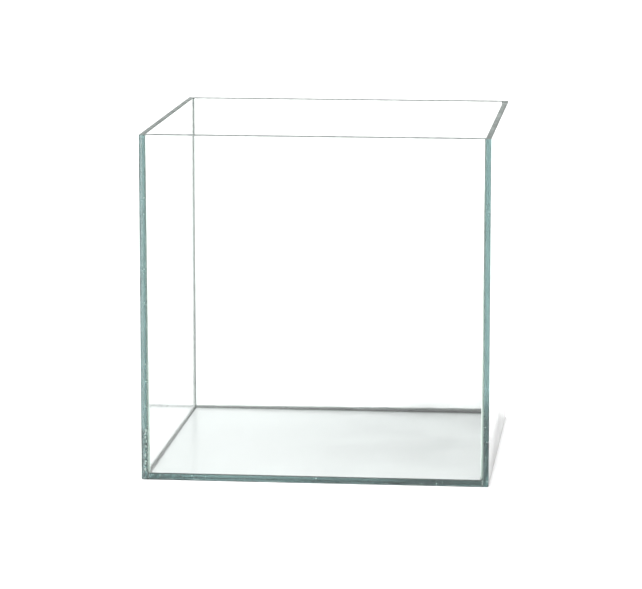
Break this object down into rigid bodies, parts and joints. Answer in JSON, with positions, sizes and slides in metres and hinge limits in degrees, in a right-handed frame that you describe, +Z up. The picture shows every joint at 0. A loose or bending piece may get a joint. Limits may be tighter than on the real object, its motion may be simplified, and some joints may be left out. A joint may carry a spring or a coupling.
{
  "type": "glass aquarium tank",
  "caption": "Rimless cube aquarium tank with an open top, made of clear float glass panes butt-jointed with clear silicone and sealed by a silicone bead in every inner corner.",
  "frame": {"origin": "on the surface that the tank stands on, under the middle of the base pane", "axes": "+Z up to the rim, +Y to the back pane, +X to the right pane. The front and back panes are the two that run the full width."},
  "size_m": [0.3, 0.3, 0.3],
  "materials": {
    "glass": "clear float glass, clear edges with a green tint, and ground top edges and arrises",
    "silicone": "clear silicone sealant, smooth and slightly cloudy, with small trapped air bubbles"
  },
  "bodies": {
    "root": {"base_pane": "glass", "front_pane": "glass", "back_pane": "glass", "left_pane": "glass", "right_pane": "glass", "film_front_left": "silicone", "film_front_right": "silicone", "film_back_left": "silicone", "film_back_right": "silicone", "film_base_front": "silicone", "film_base_back": "silicone", "film_base_left": "silicone", "film_base_right": "silicone", "bead_front_left": "silicone", "bead_front_right": "silicone", "bead_back_left": "silicone", "bead_back_right": "silicone", "bead_base_front": "silicone", "bead_base_back": "silicone", "bead_base_left": "silicone", "bead_base_right": "silicone"}
  },
  "joints": []
}
